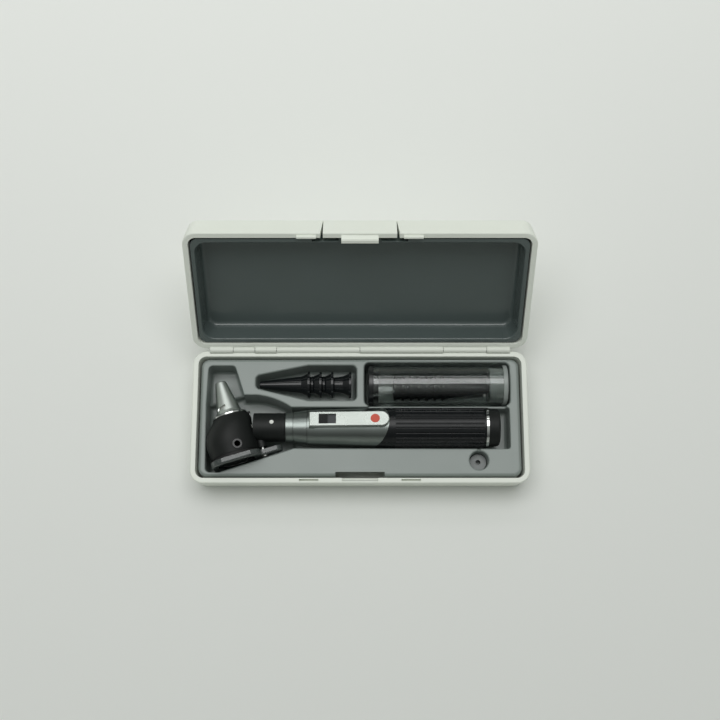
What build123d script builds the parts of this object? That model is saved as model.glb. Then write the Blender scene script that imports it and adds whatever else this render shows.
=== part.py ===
from build123d import *
from math import cos, radians, sin, tan
import os

os.makedirs("parts", exist_ok=True)

# An otoscope carry case, open, with the instrument and its specula in the tray.
# Millimetres. The origin is the centre of the underside, +X to the right, +Y to the hinge, +Z up.

# Case shells
CASE_LENGTH = 200.0
CASE_DEPTH = 80.0
BASE_HEIGHT = 24.0
LID_HEIGHT = 18.0
CASE_CORNER = 8.0
BASE_DRAFT = 4.5
LID_DRAFT = 5.0
RIM_LAND = 3.2
RIM_ROUND = 0.8
BASE_FLOOR = 2.4
LID_CEILING = 2.0
BASE_EDGE_ROUND = 2.5
LID_EDGE_ROUND = 2.8

# Edges of the case, from which its pockets and contents are placed
LEFT = -CASE_LENGTH / 2
RIGHT = CASE_LENGTH / 2
FRONT = -CASE_DEPTH / 2
BACK = CASE_DEPTH / 2

# Hinge
HINGE_OUT = 0.9
HINGE_Y = BACK + HINGE_OUT
HINGE_Z = BASE_HEIGHT
HINGE_BARREL_R = 2.0
HINGE_PIN_R = 0.95
HINGE_PIN_CLEARANCE = 0.05
HINGE_END_GAP = 0.2
HINGE_SCALLOP_CLEARANCE = 0.35
HINGE_WEB_DROP = 2.0
HINGE_WEB_ROOT = 1.5
KNUCKLE_INSET = 10.0
KNUCKLE_OUTER = 14.0
KNUCKLE_INNER = 13.0
LID_OPEN_ANGLE = 128.0

# Open stops on the back wall of the base, drawn from the hinge axis
STOP_X = 30.0
STOP_WIDTH = 8.0
STOP_PROFILE = [(-2.4, -2.6), (0.6, -2.4), (2.4, -0.8), (6.4, -3.25), (6.1, -4.7), (-2.7, -13.0)]

# Latch and locating tabs on the lid's front wall
TONGUE_HALF = 20.75
TONGUE_SLIT_RIM = 1.5
TONGUE_SLIT_ROOT = 0.35
TONGUE_ROOT_H = 14.6
TONGUE_ROOT_GAP = 0.05
LIP_HALF = 10.4
LIP_PROFILE = [
    (1.5, 0.9), (1.5, 0.0), (2.9, -2.2), (2.2, -2.7), (2.2, -3.1), (3.0, -3.6), (4.6, -3.6), (4.6, 2.6),
    (3.0, 2.6),
]
LIP_CLEARANCE = 0.25
TAB_X = 30.0
TAB_WIDTH = 11.0
TAB_THICK = 0.9
TAB_REACH = 2.4
TAB_INSET = 1.9
TAB_CLEARANCE = 0.2
TAB_SLOT_DEPTH = 2.9
LINER_RELIEF_HALF = 27.0
LINER_RELIEF_TOP = 4.5
LIP_RELIEF_SIDE = 1.6
LIP_RELIEF_DEEP = 3.2

# Tray
TRAY_RECESS = 1.5
TRAY_WALL = 1.2
TRAY_GAP_X = 1.5
TRAY_GAP_Y = 1.2
TRAY_CORNER = 5.0
TRAY_SHOULDER = 2.0
TRAY_SKIRT = 4.5
POCKET_DRAFT = 3.0
HANDLE_POCKET_DRAFT = 1.5
TUBE_POCKET_DRAFT = 2.0
POCKET_CORNER_SMALL = 2.6
POCKET_RIM_ROUND = 1.0
LONG_POCKET_RIM_ROUND = 0.8
POCKET_FLOOR_ROUND = 2.0
POCKET_FLOOR_MIN_AREA = 250.0
TIP_FLOOR = 7.5
TIP_FLOOR_AT = 36.2
HANDLE_FLOOR = 8.3
HANDLE_SIDE_GAP = 0.05
HANDLE_FRONT_GAP = 0.75
HANDLE_END_ROOM = 6.3
HANDLE_POCKET_FLARE = 0.3
HANDLE_POCKET_CORNER = 1.6
SPARE_POCKET_CORNER = 2.9
TUBE_ROOM_LEFT = 2.4
TUBE_ROOM_RIGHT = 1.4
TUBE_ROOM_FRONT = 1.4
TUBE_ROOM_BACK = 0.5
TUBE_POCKET_CORNER = 3.0
SPARE_FLOOR = 8.0
REST_GAP = 0.3
LAMP_WELL_INSET = 29.8
LAMP_WELL_FORWARD = 20.0
LAMP_WELL_R = 5.6
LAMP_WELL_FLOOR = 9.5
LAMP_HOLDER_GAP = 0.7
LAMP_HOLDER_TALL = 5.5
LAMP_HOLDER_BORE = 1.5
LATCH_NOTCH_HALF = 14.5
LATCH_NOTCH_INSET = 7.0
RIB_INSETS = [66.0, 28.0]
RIB_THICK = 2.0
RIB_SPAN = 18.0

# Lid liner
LINER_GAP = 1.1
LINER_WALL = 1.0
LINER_RIM_WALL = 0.8
LINER_MOUTH_H = 0.9
LINER_SHOULDER_SIDE = 2.3
LINER_SHOULDER_FRONT = 2.8
LINER_SHOULDER_BACK = 2.4
LINER_SIDE_SLOPE = 7.0
LINER_BACK_SLOPE = 2.0
LINER_FRONT_SLOPE = 4.0
LINER_RIM_DEEP = 2.4
LINER_FLOOR_ROUND = 2.5
LINER_MOUTH_ROUND = 1.0

# Instrument axis
AXIS_INSET = 33.9
HANDLE_ROLL = 12.0

# Handle lengths along X and radii
NECK_INSET = 37.0
NECK_LENGTH = 18.8
NECK_END_GAP = 0.2
COUPLING_LENGTH = 4.6
COLLAR_LENGTH = 7.95
SHELL_INSET = 69.0
TAPER_LENGTH = 48.6
SHELL_REACH = 55.0
GRIP_HIDDEN = 25.0
CORE_STEP_AT = 51.0
GRIP_END_INSET = 25.8
TRIM_RING_LENGTH = 1.5
TRIM_RING_GAP = 0.1
CAP_LENGTH = 6.7
SHELL_R = 10.65
GRIP_R = 11.9
COUPLING_R = 9.4
SPIGOT_R = 7.6
SHELL_WALL = 1.25
GRIP_WALL = 1.7
CELL_CLEARANCE = 0.3
THREAD_WALL = 1.5
THREAD_LENGTH = 8.9
THREAD_CLEARANCE = 0.08
SHELL_SKIN = 1.1
SHELL_CUT_AT = 40.66
SHELL_CUT_SLOPE = 0.637
SHELL_CUT_GAP = 0.12
SEAT_CLEARANCE = 0.05
RIB_COUNT = 26
RIB_GROOVE_R = 0.55
RIB_START = 52.0
RIB_STOP = 1.2

# Dry cells
CELL_R = 7.2
CELL_NUB_R = 2.75
CELL_NUB = 1.0
CELL_BORE_START = 3.0
CELL_START = 6.1
CELL_GAP = 0.1
SPRING_ROOM = 7.8

# Pocket clip and switch
CLIP_START = 1.2
CLIP_STRAIGHT = 42.3
CLIP_HALF = 4.8
CLIP_RISE_LEFT = 2.45
CLIP_RISE_RIGHT = 2.3
CLIP_UNDER_GAP = 0.55
CLIP_FOOT = 3.4
CLIP_SEAT = 0.08
CLIP_BEVEL = 0.55
WINDOW_START = 5.6
WINDOW_LENGTH = 10.2
WINDOW_HALF = 3.1
WINDOW_LIP = 0.75
TRACK_HALF = 3.9
TRACK_TOP = 12.0
TRACK_THICK = 0.4
SWITCH_LENGTH = 4.8
SWITCH_HALF = 2.95
MARKER_BACK = 3.6
MARKER_R = 2.7
MARKER_SINK = 0.65
MARKER_THICK = 0.5

# Head
HEAD_ANGLE = 17.0
HEAD_INSET = 29.527
HEAD_FORWARD = 15.812
HEAD_STATIONS = [
    (0.0, -3.4, 14.4),
    (5.5, -3.4, 15.0),
    (11.5, -2.9, 15.0),
    (17.0, -1.4, 13.7),
    (22.3, 0.0, 10.9),
]
HEAD_WALL = 1.6
HEAD_FRONT_BORE = 6.9
LOCK_RING_R = 10.6
LOCK_RING_THICK = 0.9
FLANGE_R = 10.3
FLANGE_THICK = 1.3
CONE_LENGTH = 20.6
CONE_BASE_R = 7.7
CONE_TIP_R = 3.4
CONE_WALL = 0.7
SLOT_TURN = 14.0
SLOT_WIDE = 1.5
FIBRE_WALL = 0.5
FIBRE_BUNDLE_R = 0.9
BULB_START = 5.1
NECK_R = 8.6
NECK_BORE = 6.8
INDEX_DOT_AT = 11.0
INDEX_DOT_R = 1.2
PORT_TILT = 14.6
PORT_W = 3.6
PORT_R = 2.8
PORT_BORE = 1.8
PORT_LENGTH = 4.7
GASKET_R = 13.9
GASKET_THICK = 1.9
GASKET_WIDTH = 2.6
FRAME_FRONT = -2.0
FRAME_THICK = 3.2
FRAME_U_LEFT = -18.2
FRAME_U_RIGHT = 12.5
FRAME_HALF_HEIGHT = 14.0
FRAME_CORNER = 8.5
FRAME_BORDER = 3.2
FRAME_ROUND = 1.0
THUMB_TAB_END = 24.6
THUMB_TAB_HALF = 4.4
PIVOT_U = 13.4
PIVOT_PIN_R = 1.2
PIVOT_CLEARANCE = 0.06
PIVOT_BOSS_R = 2.9
PIN_HEAD_R = 2.1

# Reusable specula
SPARE_INSET_BACK = 19.0
SPARE_TIP_INSETS = [39.7, 46.75, 53.8, 64.6]
SPARE_END = -5.2
SPARE_TIP_R = 2.2
SPARE_CONE_R = 5.2
SPARE_FLANGE_R = 8.0
SPARE_WALL = 0.65

# Dispenser tube and disposable specula
TUBE_INSET_BACK = 19.2
TUBE_LEFT = 5.0
TUBE_END_INSET = 11.8
TUBE_R = 11.7
TUBE_WALL = 1.2
TUBE_RIM_R = 12.2
TUBE_BASE_THICK = 3.0
TUBE_CAP_RIM = 2.6
TUBE_PLUG_LENGTH = 8.0
TUBE_FIT = 0.05
DISPOSABLE_ASIDE = 1.5
DISPOSABLE_DROP = 2.2
DISPOSABLE_TIP_GAP = 10.2
DISPOSABLE_END_GAP = 15.34
DISPOSABLE_PITCH = 4.81
DISPOSABLE_COUNT = 7
DISPOSABLE_TIP_R = 2.5
DISPOSABLE_CONE_R = 5.9
DISPOSABLE_FLANGE_R = 7.7
DISPOSABLE_WALL = 0.45

# Places that follow from the sizes above
hinge_left = LEFT + KNUCKLE_INSET
hinge_right = RIGHT - KNUCKLE_INSET
knuckle_ends = [
    hinge_left,
    hinge_left + KNUCKLE_OUTER,
    hinge_left + KNUCKLE_OUTER + KNUCKLE_INNER,
    hinge_left + KNUCKLE_OUTER + 2 * KNUCKLE_INNER,
    0.0,
    hinge_right - KNUCKLE_OUTER - 2 * KNUCKLE_INNER,
    hinge_right - KNUCKLE_OUTER,
    hinge_right,
]
web_root_y = BACK - HINGE_WEB_ROOT
tab_y = BACK - TAB_INSET
tray_top = BASE_HEIGHT - TRAY_RECESS
tray_half_x = RIGHT - RIM_LAND - TRAY_GAP_X
tray_half_y = BACK - RIM_LAND - TRAY_GAP_Y
tray_skirt_z = tray_top - TRAY_SKIRT
tray_floor = BASE_FLOOR + TRAY_WALL
notch_back = FRONT + LATCH_NOTCH_INSET

axis_y = FRONT + AXIS_INSET
axis_z = HANDLE_FLOOR + REST_GAP + GRIP_R
handle_lean = (tray_top - axis_z) * tan(radians(HANDLE_POCKET_DRAFT))
handle_back = axis_y + GRIP_R + HANDLE_SIDE_GAP + handle_lean
handle_front = axis_y - GRIP_R - HANDLE_FRONT_GAP - handle_lean
neck_left = LEFT + NECK_INSET
neck_right = neck_left + NECK_LENGTH
coupling_left = neck_right + NECK_END_GAP
collar_left = coupling_left + COUPLING_LENGTH + NECK_END_GAP
shell_left = LEFT + SHELL_INSET
taper_end = shell_left + TAPER_LENGTH
shell_limit = shell_left + SHELL_REACH
grip_left = shell_left + GRIP_HIDDEN
core_step = shell_left + CORE_STEP_AT
shell_cut_x = shell_left + SHELL_CUT_AT
rib_left = shell_left + RIB_START
grip_right = RIGHT - GRIP_END_INSET
rib_right = grip_right - RIB_STOP
cap_left = grip_right + TRIM_RING_LENGTH + 2 * TRIM_RING_GAP
cap_right = cap_left + CAP_LENGTH
thread_left = cap_left - THREAD_LENGTH
core_r_front = SHELL_R - SHELL_WALL
core_r_rear = GRIP_R - GRIP_WALL
cell_bore = CELL_R + CELL_CLEARANCE
thread_r = cell_bore + THREAD_WALL
cell_bore_left = shell_left + CELL_BORE_START
front_cell_left = shell_left + CELL_START
cells_right = cap_right - SPRING_ROOM
cell_body = (cells_right - front_cell_left - CELL_NUB - CELL_GAP) / 2
cell_pitch = cell_body + CELL_NUB + CELL_GAP
clip_left = shell_left + CLIP_START
clip_round_x = clip_left + CLIP_STRAIGHT
clip_end = clip_round_x + CLIP_HALF
clip_top_left = SHELL_R + CLIP_RISE_LEFT
clip_top_right = GRIP_R + CLIP_RISE_RIGHT
window_left = clip_left + WINDOW_START
window_right = window_left + WINDOW_LENGTH
window_middle = (window_left + window_right) / 2
marker_x = clip_round_x - MARKER_BACK

spare_y = BACK - SPARE_INSET_BACK
spare_z = SPARE_FLOOR + REST_GAP + SPARE_FLANGE_R
spare_tips = [LEFT + inset for inset in SPARE_TIP_INSETS]
spare_length = SPARE_END - spare_tips[-1]
tube_y = BACK - TUBE_INSET_BACK
tube_z = tray_floor + REST_GAP + TUBE_RIM_R
tube_right = RIGHT - TUBE_END_INSET
tube_inner = TUBE_R - TUBE_WALL
disposable_y = tube_y - DISPOSABLE_ASIDE
disposable_z = tube_z - DISPOSABLE_DROP
disposable_tip_x = tube_right - DISPOSABLE_TIP_GAP
last_tip_x = disposable_tip_x - DISPOSABLE_PITCH * (DISPOSABLE_COUNT - 1)
disposable_length = last_tip_x - TUBE_LEFT - DISPOSABLE_END_GAP
lamp_x = RIGHT - LAMP_WELL_INSET
lamp_y = axis_y - LAMP_WELL_FORWARD
lamp_holder_r = LAMP_WELL_R - LAMP_HOLDER_GAP
lamp_holder_top = LAMP_WELL_FLOOR + LAMP_HOLDER_TALL

# Frames of reference
angle = radians(LID_OPEN_ANGLE)
LID = Plane(
    origin=(0, HINGE_Y - HINGE_Y * cos(angle), HINGE_Z + HINGE_Y * sin(angle)),
    x_dir=(1, 0, 0),
    z_dir=(0, sin(angle), cos(angle)),
)
roll = radians(HANDLE_ROLL)
HANDLE = Plane(origin=(0, axis_y, axis_z), x_dir=(1, 0, 0), z_dir=(0, sin(roll), cos(roll)))
CLIP_SIDE = Plane(origin=(0, axis_y, axis_z), x_dir=(1, 0, 0), z_dir=(0, -cos(roll), sin(roll)))
head_tilt = radians(HEAD_ANGLE)
HEAD_N = Vector(cos(head_tilt), sin(head_tilt), 0)
HEAD_D = Vector(-sin(head_tilt), cos(head_tilt), 0)
HEAD = Plane(
    origin=(LEFT + HEAD_INSET, axis_y - HEAD_FORWARD, axis_z),
    x_dir=HEAD_N,
    z_dir=HEAD_D,
)
HEAD_TOP = Plane(origin=HEAD.origin, x_dir=HEAD_N, z_dir=(0, 0, 1))


def on(plane, *points):
    """Places on a plane's own frame, for solids set in it."""
    return Locations(*[plane.location * Location(point) for point in points])


def side_plane(y, z):
    """A plane whose first direction is X and second is Z, through the axis at y, z."""
    return Plane(origin=(0, y, z), x_dir=(1, 0, 0), z_dir=(0, -1, 0))


def turned(points, y=axis_y, z=axis_z):
    """A solid turned about the line along X at y, z from (x, radius) points."""
    with BuildPart() as piece:
        with BuildSketch(side_plane(y, z)):
            with BuildLine():
                Polyline(*points, close=True)
            make_face()
        revolve(axis=Axis((0, y, z), (1, 0, 0)))
    return piece.part


def turned_head(points):
    """A solid turned about the head's axis from (distance along it, radius) points."""
    with BuildPart() as piece:
        with BuildSketch(HEAD_TOP):
            with BuildLine():
                Polyline(*[(r, w) for w, r in points], close=True)
            make_face()
        revolve(axis=Axis(HEAD.origin, HEAD_D))
    return piece.part


def save(part, label):
    """Label one piece and write its file."""
    part.label = label
    export_step(part, "parts/" + label + ".step")


def handle_radius(x):
    """Outer radius of the handle at station x."""
    if x >= taper_end:
        return GRIP_R
    return SHELL_R + (GRIP_R - SHELL_R) * (x - shell_left) / (taper_end - shell_left)


base_shrink = BASE_HEIGHT * tan(radians(BASE_DRAFT))
inner_shrink = (BASE_HEIGHT - BASE_FLOOR) * tan(radians(BASE_DRAFT))
base_knuckles = [(knuckle_ends[i], knuckle_ends[i + 1]) for i in (1, 3, 5)]
lid_knuckles = [(knuckle_ends[i], knuckle_ends[i + 1]) for i in (0, 2, 4, 6)]
hinge_length = knuckle_ends[-1] - knuckle_ends[0]
pin_bore = HINGE_PIN_R + HINGE_PIN_CLEARANCE

# Base shell
with BuildPart() as base_shell:
    with BuildSketch():
        RectangleRounded(
            CASE_LENGTH - 2 * base_shrink, CASE_DEPTH - 2 * base_shrink, CASE_CORNER - base_shrink
        )
    extrude(amount=BASE_HEIGHT, taper=-BASE_DRAFT)
    fillet(base_shell.edges().group_by(Axis.Z)[0], BASE_EDGE_ROUND)
    fillet(base_shell.edges().group_by(Axis.Z)[-1], RIM_ROUND)
    with BuildSketch(Plane.XY.offset(BASE_FLOOR)):
        RectangleRounded(
            CASE_LENGTH - 2 * RIM_LAND - 2 * inner_shrink,
            CASE_DEPTH - 2 * RIM_LAND - 2 * inner_shrink,
            CASE_CORNER - RIM_LAND - inner_shrink,
        )
    extrude(amount=BASE_HEIGHT - BASE_FLOOR + 0.01, taper=-BASE_DRAFT, mode=Mode.SUBTRACT)
    # Ribs under the handle pocket
    with Locations(*[(RIGHT - inset, axis_y, BASE_FLOOR) for inset in RIB_INSETS]):
        Box(
            RIB_THICK,
            RIB_SPAN,
            HANDLE_FLOOR - TRAY_WALL - BASE_FLOOR,
            align=(Align.CENTER, Align.CENTER, Align.MIN),
        )
    # Open stops
    for stop in (-STOP_X, STOP_X):
        with BuildSketch(Plane.YZ.offset(stop - STOP_WIDTH / 2)):
            with BuildLine():
                Polyline(*[(HINGE_Y + out, HINGE_Z + up) for out, up in STOP_PROFILE], close=True)
            make_face()
        extrude(amount=STOP_WIDTH)
    # Room for the lid's knuckles, then the base's own knuckles
    for low, high in lid_knuckles:
        with Locations(((low + high) / 2, HINGE_Y, HINGE_Z)):
            Cylinder(
                HINGE_BARREL_R + HINGE_SCALLOP_CLEARANCE,
                high - low,
                rotation=(0, 90, 0),
                mode=Mode.SUBTRACT,
            )
    for low, high in base_knuckles:
        length = high - low - 2 * HINGE_END_GAP
        middle = (low + high) / 2
        with Locations((middle, HINGE_Y, HINGE_Z)):
            Cylinder(HINGE_BARREL_R, length, rotation=(0, 90, 0))
        with Locations((middle, (HINGE_Y + web_root_y) / 2, HINGE_Z - HINGE_WEB_DROP / 2)):
            Box(length, HINGE_Y - web_root_y, HINGE_WEB_DROP)
    with Locations((0, HINGE_Y, HINGE_Z)):
        Cylinder(pin_bore, hinge_length + 2, rotation=(0, 90, 0), mode=Mode.SUBTRACT)
    # Slots for the lid's locating tabs and the seat for the latch lip
    with Locations(*[(x, -tab_y, BASE_HEIGHT) for x in (-TAB_X, TAB_X)]):
        Box(
            TAB_WIDTH + 2 * TAB_CLEARANCE,
            TAB_THICK + 2 * TAB_CLEARANCE,
            2 * TAB_SLOT_DEPTH,
            mode=Mode.SUBTRACT,
        )
    with BuildSketch(Plane.YZ.offset(-LIP_HALF - LIP_CLEARANCE)):
        with BuildLine():
            Polyline(*[(FRONT + y, BASE_HEIGHT + z) for y, z in LIP_PROFILE], close=True)
        make_face()
        offset(amount=LIP_CLEARANCE, kind=Kind.INTERSECTION)
    extrude(amount=2 * (LIP_HALF + LIP_CLEARANCE), mode=Mode.SUBTRACT)
save(base_shell.part, "base_shell")

# Hinge pin
with BuildPart() as hinge_pin:
    with Locations((0, HINGE_Y, HINGE_Z)):
        Cylinder(HINGE_PIN_R, hinge_length, rotation=(0, 90, 0))
save(hinge_pin.part, "hinge_pin")


# Pocket outlines of the tray, at its top face
def meet(start, end, along):
    """The point between start and end that lies at a distance along the head's axis."""
    start_along = HEAD.to_local_coords(Vector(*start, axis_z)).Z
    end_along = HEAD.to_local_coords(Vector(*end, axis_z)).Z
    share = (along - start_along) / (end_along - start_along)
    return (start[0] + share * (end[0] - start[0]), start[1] + share * (end[1] - start[1]))


ledge = axis_y + 19.5
tip_back_left = (LEFT + 9.3, BACK - 8.6)
tip_back_right = (LEFT + 24.9, BACK - 8.6)
tip_front_right = (LEFT + 30.8, ledge)
tip_front_left = (LEFT + 8.4, axis_y + 14.1)


def head_outline():
    """Outline of the deep pocket under the head, the window and the root of the speculum cone."""
    with BuildSketch() as outline:
        with BuildLine():
            Polyline(
                (LEFT + 38.5, ledge), tip_front_right, meet(tip_back_right, tip_front_right, TIP_FLOOR_AT),
                meet(tip_back_left, tip_front_left, TIP_FLOOR_AT), tip_front_left,
                (LEFT + 9.0, FRONT + 6.9), (LEFT + 17.0, FRONT + 6.9), (LEFT + 61.0, handle_front),
                (LEFT + 61.0, handle_back), (LEFT + 59.0, handle_back),
            )
            ThreePointArc((LEFT + 59.0, handle_back), (LEFT + 50.0, axis_y + 16.7), (LEFT + 38.5, ledge))
        make_face()
        fillet(
            outline.vertices().filter_by(lambda v: v.X < LEFT + 30 and v.Y < FRONT + 10), POCKET_CORNER_SMALL
        )
    return outline.sketch


def tip_outline():
    """Outline of the shallower pocket under the tip of the speculum cone."""
    with BuildSketch() as outline:
        with BuildLine():
            Polyline(tip_back_left, tip_back_right, tip_front_right, tip_front_left, close=True)
        make_face()
        fillet(outline.vertices().filter_by(lambda v: v.Y > BACK - 10), POCKET_CORNER_SMALL)
    return outline.sketch


def handle_outline():
    """Outline of the pocket under the handle."""
    pocket_end = cap_right + HANDLE_END_ROOM
    with BuildSketch() as outline:
        with BuildLine():
            Polyline(
                (neck_right - 0.8, handle_back), (neck_right - 0.8, handle_front),
                (pocket_end, handle_front - HANDLE_POCKET_FLARE), (pocket_end, handle_back), close=True,
            )
        make_face()
        fillet(outline.vertices().filter_by(lambda v: v.X > 0), HANDLE_POCKET_CORNER)
    return outline.sketch


def spare_outline():
    """Outline of the pocket for the reusable specula."""
    pocket_left = spare_tips[0] - 2.1
    pocket_right = SPARE_END + 3.2
    with BuildSketch() as outline:
        with BuildLine():
            Polyline(
                (pocket_left, spare_y - 3.3), (shell_left, spare_y - 10.9), (pocket_right, spare_y - 10.9),
                (pocket_right, spare_y + 10.7), (shell_left, spare_y + 10.7), (pocket_left, spare_y + 4.3),
                close=True,
            )
        make_face()
        fillet(outline.vertices(), SPARE_POCKET_CORNER)
    return outline.sketch


def tube_outline():
    """Outline of the pocket for the dispenser tube."""
    left = TUBE_LEFT - TUBE_ROOM_LEFT
    right = tube_right + TUBE_ROOM_RIGHT
    low = tube_y - TUBE_RIM_R - TUBE_ROOM_FRONT
    high = tube_y + TUBE_RIM_R + TUBE_ROOM_BACK
    with BuildSketch() as outline:
        with Locations(((left + right) / 2, (low + high) / 2)):
            RectangleRounded(right - left, high - low, TUBE_POCKET_CORNER)
    return outline.sketch


def lamp_outline():
    """Outline of the spare-lamp well."""
    with BuildSketch() as outline:
        with Locations((lamp_x, lamp_y)):
            Circle(LAMP_WELL_R)
    return outline.sketch


pockets = [
    (head_outline, tray_floor, HANDLE_POCKET_DRAFT),
    (tip_outline, TIP_FLOOR, HANDLE_POCKET_DRAFT),
    (handle_outline, HANDLE_FLOOR, HANDLE_POCKET_DRAFT),
    (spare_outline, SPARE_FLOOR, POCKET_DRAFT),
    (tube_outline, tray_floor, TUBE_POCKET_DRAFT),
    (lamp_outline, LAMP_WELL_FLOOR, TUBE_POCKET_DRAFT),
]



def pocket_rims(tray):
    """The pocket rims on the tray's top face, shortest first."""
    top_faces = tray.faces().filter_by(lambda f: f.normal_at().Z > 0.99 and f.center().Z > tray_top - 0.01)
    top_face = top_faces.sort_by(SortBy.AREA)[-1]
    return sorted(top_face.inner_wires(), key=lambda wire: wire.length)


# Tray: a thin formed sheet with a skirt, grown pocket shells and the pocket hollows
with BuildPart() as base_tray:
    with BuildSketch(Plane.XY.offset(tray_skirt_z)):
        RectangleRounded(2 * tray_half_x, 2 * tray_half_y, TRAY_CORNER)
    extrude(amount=tray_top - tray_skirt_z)
    fillet(base_tray.edges().group_by(Axis.Z)[-1], TRAY_SHOULDER)
    with BuildSketch(Plane.XY.offset(tray_skirt_z)):
        RectangleRounded(
            2 * (tray_half_x - TRAY_WALL), 2 * (tray_half_y - TRAY_WALL), TRAY_CORNER - TRAY_WALL
        )
    extrude(amount=tray_top - TRAY_WALL - tray_skirt_z, mode=Mode.SUBTRACT)
    for outline, floor, draft in pockets:
        with BuildSketch(Plane.XY.offset(tray_top)):
            add(outline())
            offset(amount=TRAY_WALL, kind=Kind.ARC)
        extrude(amount=floor - TRAY_WALL - tray_top, taper=draft)
    for outline, floor, draft in pockets:
        with BuildSketch(Plane.XY.offset(tray_top)):
            add(outline())
        extrude(amount=floor - tray_top, taper=draft, mode=Mode.SUBTRACT)
    # Rounded rims and floors, as a formed sheet has them; the long pocket's rim comes last
    small_rims = pocket_rims(base_tray)[:-1]
    fillet([edge for rim in small_rims for edge in rim.edges()], POCKET_RIM_ROUND)
    long_rim = max(pocket_rims(base_tray), key=lambda wire: wire.length)
    fillet(long_rim.edges(), LONG_POCKET_RIM_ROUND)
    floors = base_tray.faces().filter_by(
        lambda f: f.normal_at().Z > 0.99 and f.center().Z < tray_top - 1 and f.area > POCKET_FLOOR_MIN_AREA
    )
    fillet([edge for floor_face in floors for edge in floor_face.outer_wire().edges()], POCKET_FLOOR_ROUND)
    notch_depth = notch_back + tray_half_y
    with Locations((0, (notch_back - tray_half_y) / 2 - 0.5, tray_top)):
        Box(2 * LATCH_NOTCH_HALF, notch_depth + 1.0, 2 * (tray_top - tray_skirt_z) + 1, mode=Mode.SUBTRACT)
save(base_tray.part, "base_tray")

# Holder for a spare lamp
with BuildPart() as lamp_holder:
    with Locations((lamp_x, lamp_y, LAMP_WELL_FLOOR)):
        Cylinder(
            lamp_holder_r,
            lamp_holder_top - LAMP_WELL_FLOOR,
            align=(Align.CENTER, Align.CENTER, Align.MIN),
        )
        Cylinder(
            LAMP_HOLDER_BORE,
            lamp_holder_top - LAMP_WELL_FLOOR,
            align=(Align.CENTER, Align.CENTER, Align.MIN),
            mode=Mode.SUBTRACT,
        )
save(lamp_holder.part, "lamp_holder")

# Lid shell, drawn on the open lid's rim plane
inner_length = CASE_LENGTH - 2 * RIM_LAND
inner_depth = CASE_DEPTH - 2 * RIM_LAND
with BuildPart() as lid_block:
    with BuildSketch(LID):
        RectangleRounded(CASE_LENGTH, CASE_DEPTH, CASE_CORNER)
    extrude(amount=LID_HEIGHT, taper=LID_DRAFT)
    top_edges = lid_block.edges().filter_by(
        lambda e: abs(LID.to_local_coords(e.center()).Z - LID_HEIGHT) < 0.01
    )
    fillet(top_edges, LID_EDGE_ROUND)
    rim_edges = lid_block.edges().filter_by(lambda e: abs(LID.to_local_coords(e.center()).Z) < 0.01)
    fillet(rim_edges, RIM_ROUND)
    with BuildSketch(LID):
        RectangleRounded(inner_length, inner_depth, CASE_CORNER - RIM_LAND)
    extrude(amount=LID_HEIGHT - LID_CEILING, taper=LID_DRAFT, mode=Mode.SUBTRACT)

with BuildPart() as lid_shell:
    add(lid_block.part)
    for low, high in base_knuckles:
        with on(LID, ((low + high) / 2, HINGE_Y, 0)):
            Cylinder(
                HINGE_BARREL_R + HINGE_SCALLOP_CLEARANCE,
                high - low,
                rotation=(0, 90, 0),
                mode=Mode.SUBTRACT,
            )
    for low, high in lid_knuckles:
        length = high - low - 2 * HINGE_END_GAP
        middle = (low + high) / 2
        with on(LID, (middle, HINGE_Y, 0)):
            Cylinder(HINGE_BARREL_R, length, rotation=(0, 90, 0))
        with on(LID, (middle, (HINGE_Y + web_root_y) / 2, HINGE_WEB_DROP / 2)):
            Box(length, HINGE_Y - web_root_y, HINGE_WEB_DROP)
    with on(LID, (0, HINGE_Y, 0)):
        Cylinder(pin_bore, hinge_length + 2, rotation=(0, 90, 0), mode=Mode.SUBTRACT)
    # Opening for the latch tongue, wider at the rim than at the root
    tongue_face = Plane(origin=LID.from_local_coords((0, FRONT - 5, 0)), x_dir=(1, 0, 0), z_dir=-LID.y_dir)
    with BuildSketch(tongue_face):
        with BuildLine():
            Polyline(
                (-TONGUE_HALF - TONGUE_SLIT_RIM, -0.1),
                (TONGUE_HALF + TONGUE_SLIT_RIM, -0.1),
                (TONGUE_HALF + TONGUE_SLIT_ROOT, TONGUE_ROOT_H + TONGUE_ROOT_GAP),
                (-TONGUE_HALF - TONGUE_SLIT_ROOT, TONGUE_ROOT_H + TONGUE_ROOT_GAP),
                close=True,
            )
        make_face()
    extrude(amount=-10.2, mode=Mode.SUBTRACT)
    # Locating tabs
    with on(LID, *[(x, -tab_y, -TAB_REACH) for x in (-TAB_X, TAB_X)]):
        Box(TAB_WIDTH, TAB_THICK, TAB_REACH + 1.0, align=(Align.CENTER, Align.CENTER, Align.MIN))
save(lid_shell.part, "lid_shell")

# Latch tongue: the middle of the lid's front wall with its catch lip
with BuildPart() as latch_tongue:
    add(lid_block.part)
    with on(LID, (0, FRONT + 2.0, 0)):
        Box(2 * TONGUE_HALF, 9.6, 2 * TONGUE_ROOT_H, mode=Mode.INTERSECT)
    lip_side = Plane(origin=LID.from_local_coords((-LIP_HALF, 0, 0)), x_dir=LID.y_dir, z_dir=(1, 0, 0))
    with BuildSketch(lip_side):
        with BuildLine():
            Polyline(*[(FRONT + y, z) for y, z in LIP_PROFILE], close=True)
        make_face()
    extrude(amount=2 * LIP_HALF)
save(latch_tongue.part, "latch_tongue")

# Lid liner: a shallow formed bowl with a flat shoulder round its mouth
mouth_x = inner_length - 2 * LINER_GAP
mouth_y = inner_depth - 2 * LINER_GAP
liner_depth = LID_HEIGHT - LID_CEILING - LINER_MOUTH_H


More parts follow.
